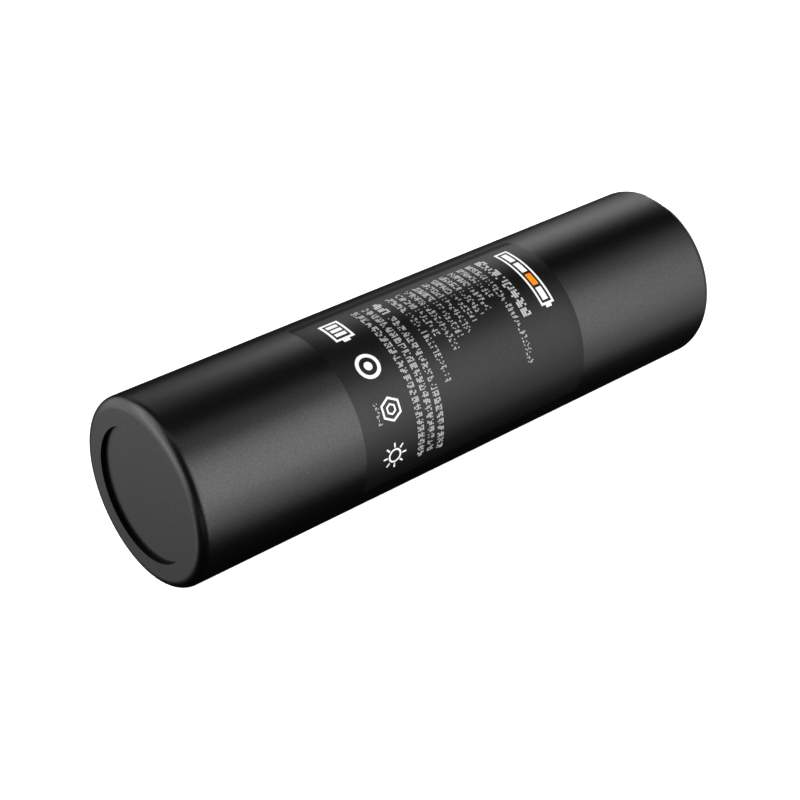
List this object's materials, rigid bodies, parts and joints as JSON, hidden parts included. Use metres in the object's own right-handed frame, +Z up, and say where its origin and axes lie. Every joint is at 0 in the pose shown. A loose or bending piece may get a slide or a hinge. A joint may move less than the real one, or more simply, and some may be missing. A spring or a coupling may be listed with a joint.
{
  "type": "cylindrical battery cell",
  "caption": "Cylindrical rechargeable lithium-ion battery in a closed black moulded housing, with both terminals on one end, that powers a handheld device.",
  "frame": {"origin": "centre of the housing, on its axis and halfway between its two end faces", "axes": "+X along the axis from the closed end to the contact end, +Z up as it lies, -Y the side that the label faces"},
  "size_m": [0.0746, 0.0211, 0.0211],
  "materials": {
    "housing_plastic": "satin",
    "label_film": "matte",
    "gold_plate": "polished",
    "foam": "matte",
    "board_laminate": "gloss",
    "chip_plastic": "matte",
    "chip_ceramic": "satin",
    "seal_nylon": "satin",
    "fibre_paper": "matte",
    "nickel": "satin",
    "sleeve_film": "gloss",
    "can_steel": "satin",
    "aluminium": "satin",
    "ptc_polymer": "matte",
    "cathode_coat": "matte",
    "anode_coat": "matte",
    "separator_film": "satin",
    "tape_film": "gloss"
  },
  "bodies": {
    "root": {"case_tube": "housing_plastic", "end_cap": "housing_plastic", "label": "label_film", "contact_positive": "gold_plate", "contact_negative": "gold_plate", "foam_pad": "foam", "protection_board": "board_laminate", "protection_ic": "chip_plastic", "mosfet_pair": "chip_plastic", "supply_resistor": "chip_plastic", "sense_resistor": "chip_plastic", "filter_capacitor": "chip_ceramic", "board_spacer": "seal_nylon", "crimp_gasket": "seal_nylon", "vent_gasket": "seal_nylon", "button_washer": "fibre_paper", "strip_paper": "fibre_paper", "lower_insulator": "fibre_paper", "upper_insulator": "fibre_paper", "positive_strip": "nickel", "negative_strip": "nickel", "negative_tab": "nickel", "cell_sleeve": "sleeve_film", "cell_can": "can_steel", "top_cap": "can_steel", "vent_disc": "aluminium", "terminal_plate": "aluminium", "positive_tab": "aluminium", "ptc_ring": "ptc_polymer", "cathode_winding": "cathode_coat", "anode_winding": "anode_coat", "separator_inner": "separator_film", "separator_outer": "separator_film", "roll_tape": "tape_film"}
  },
  "joints": []
}
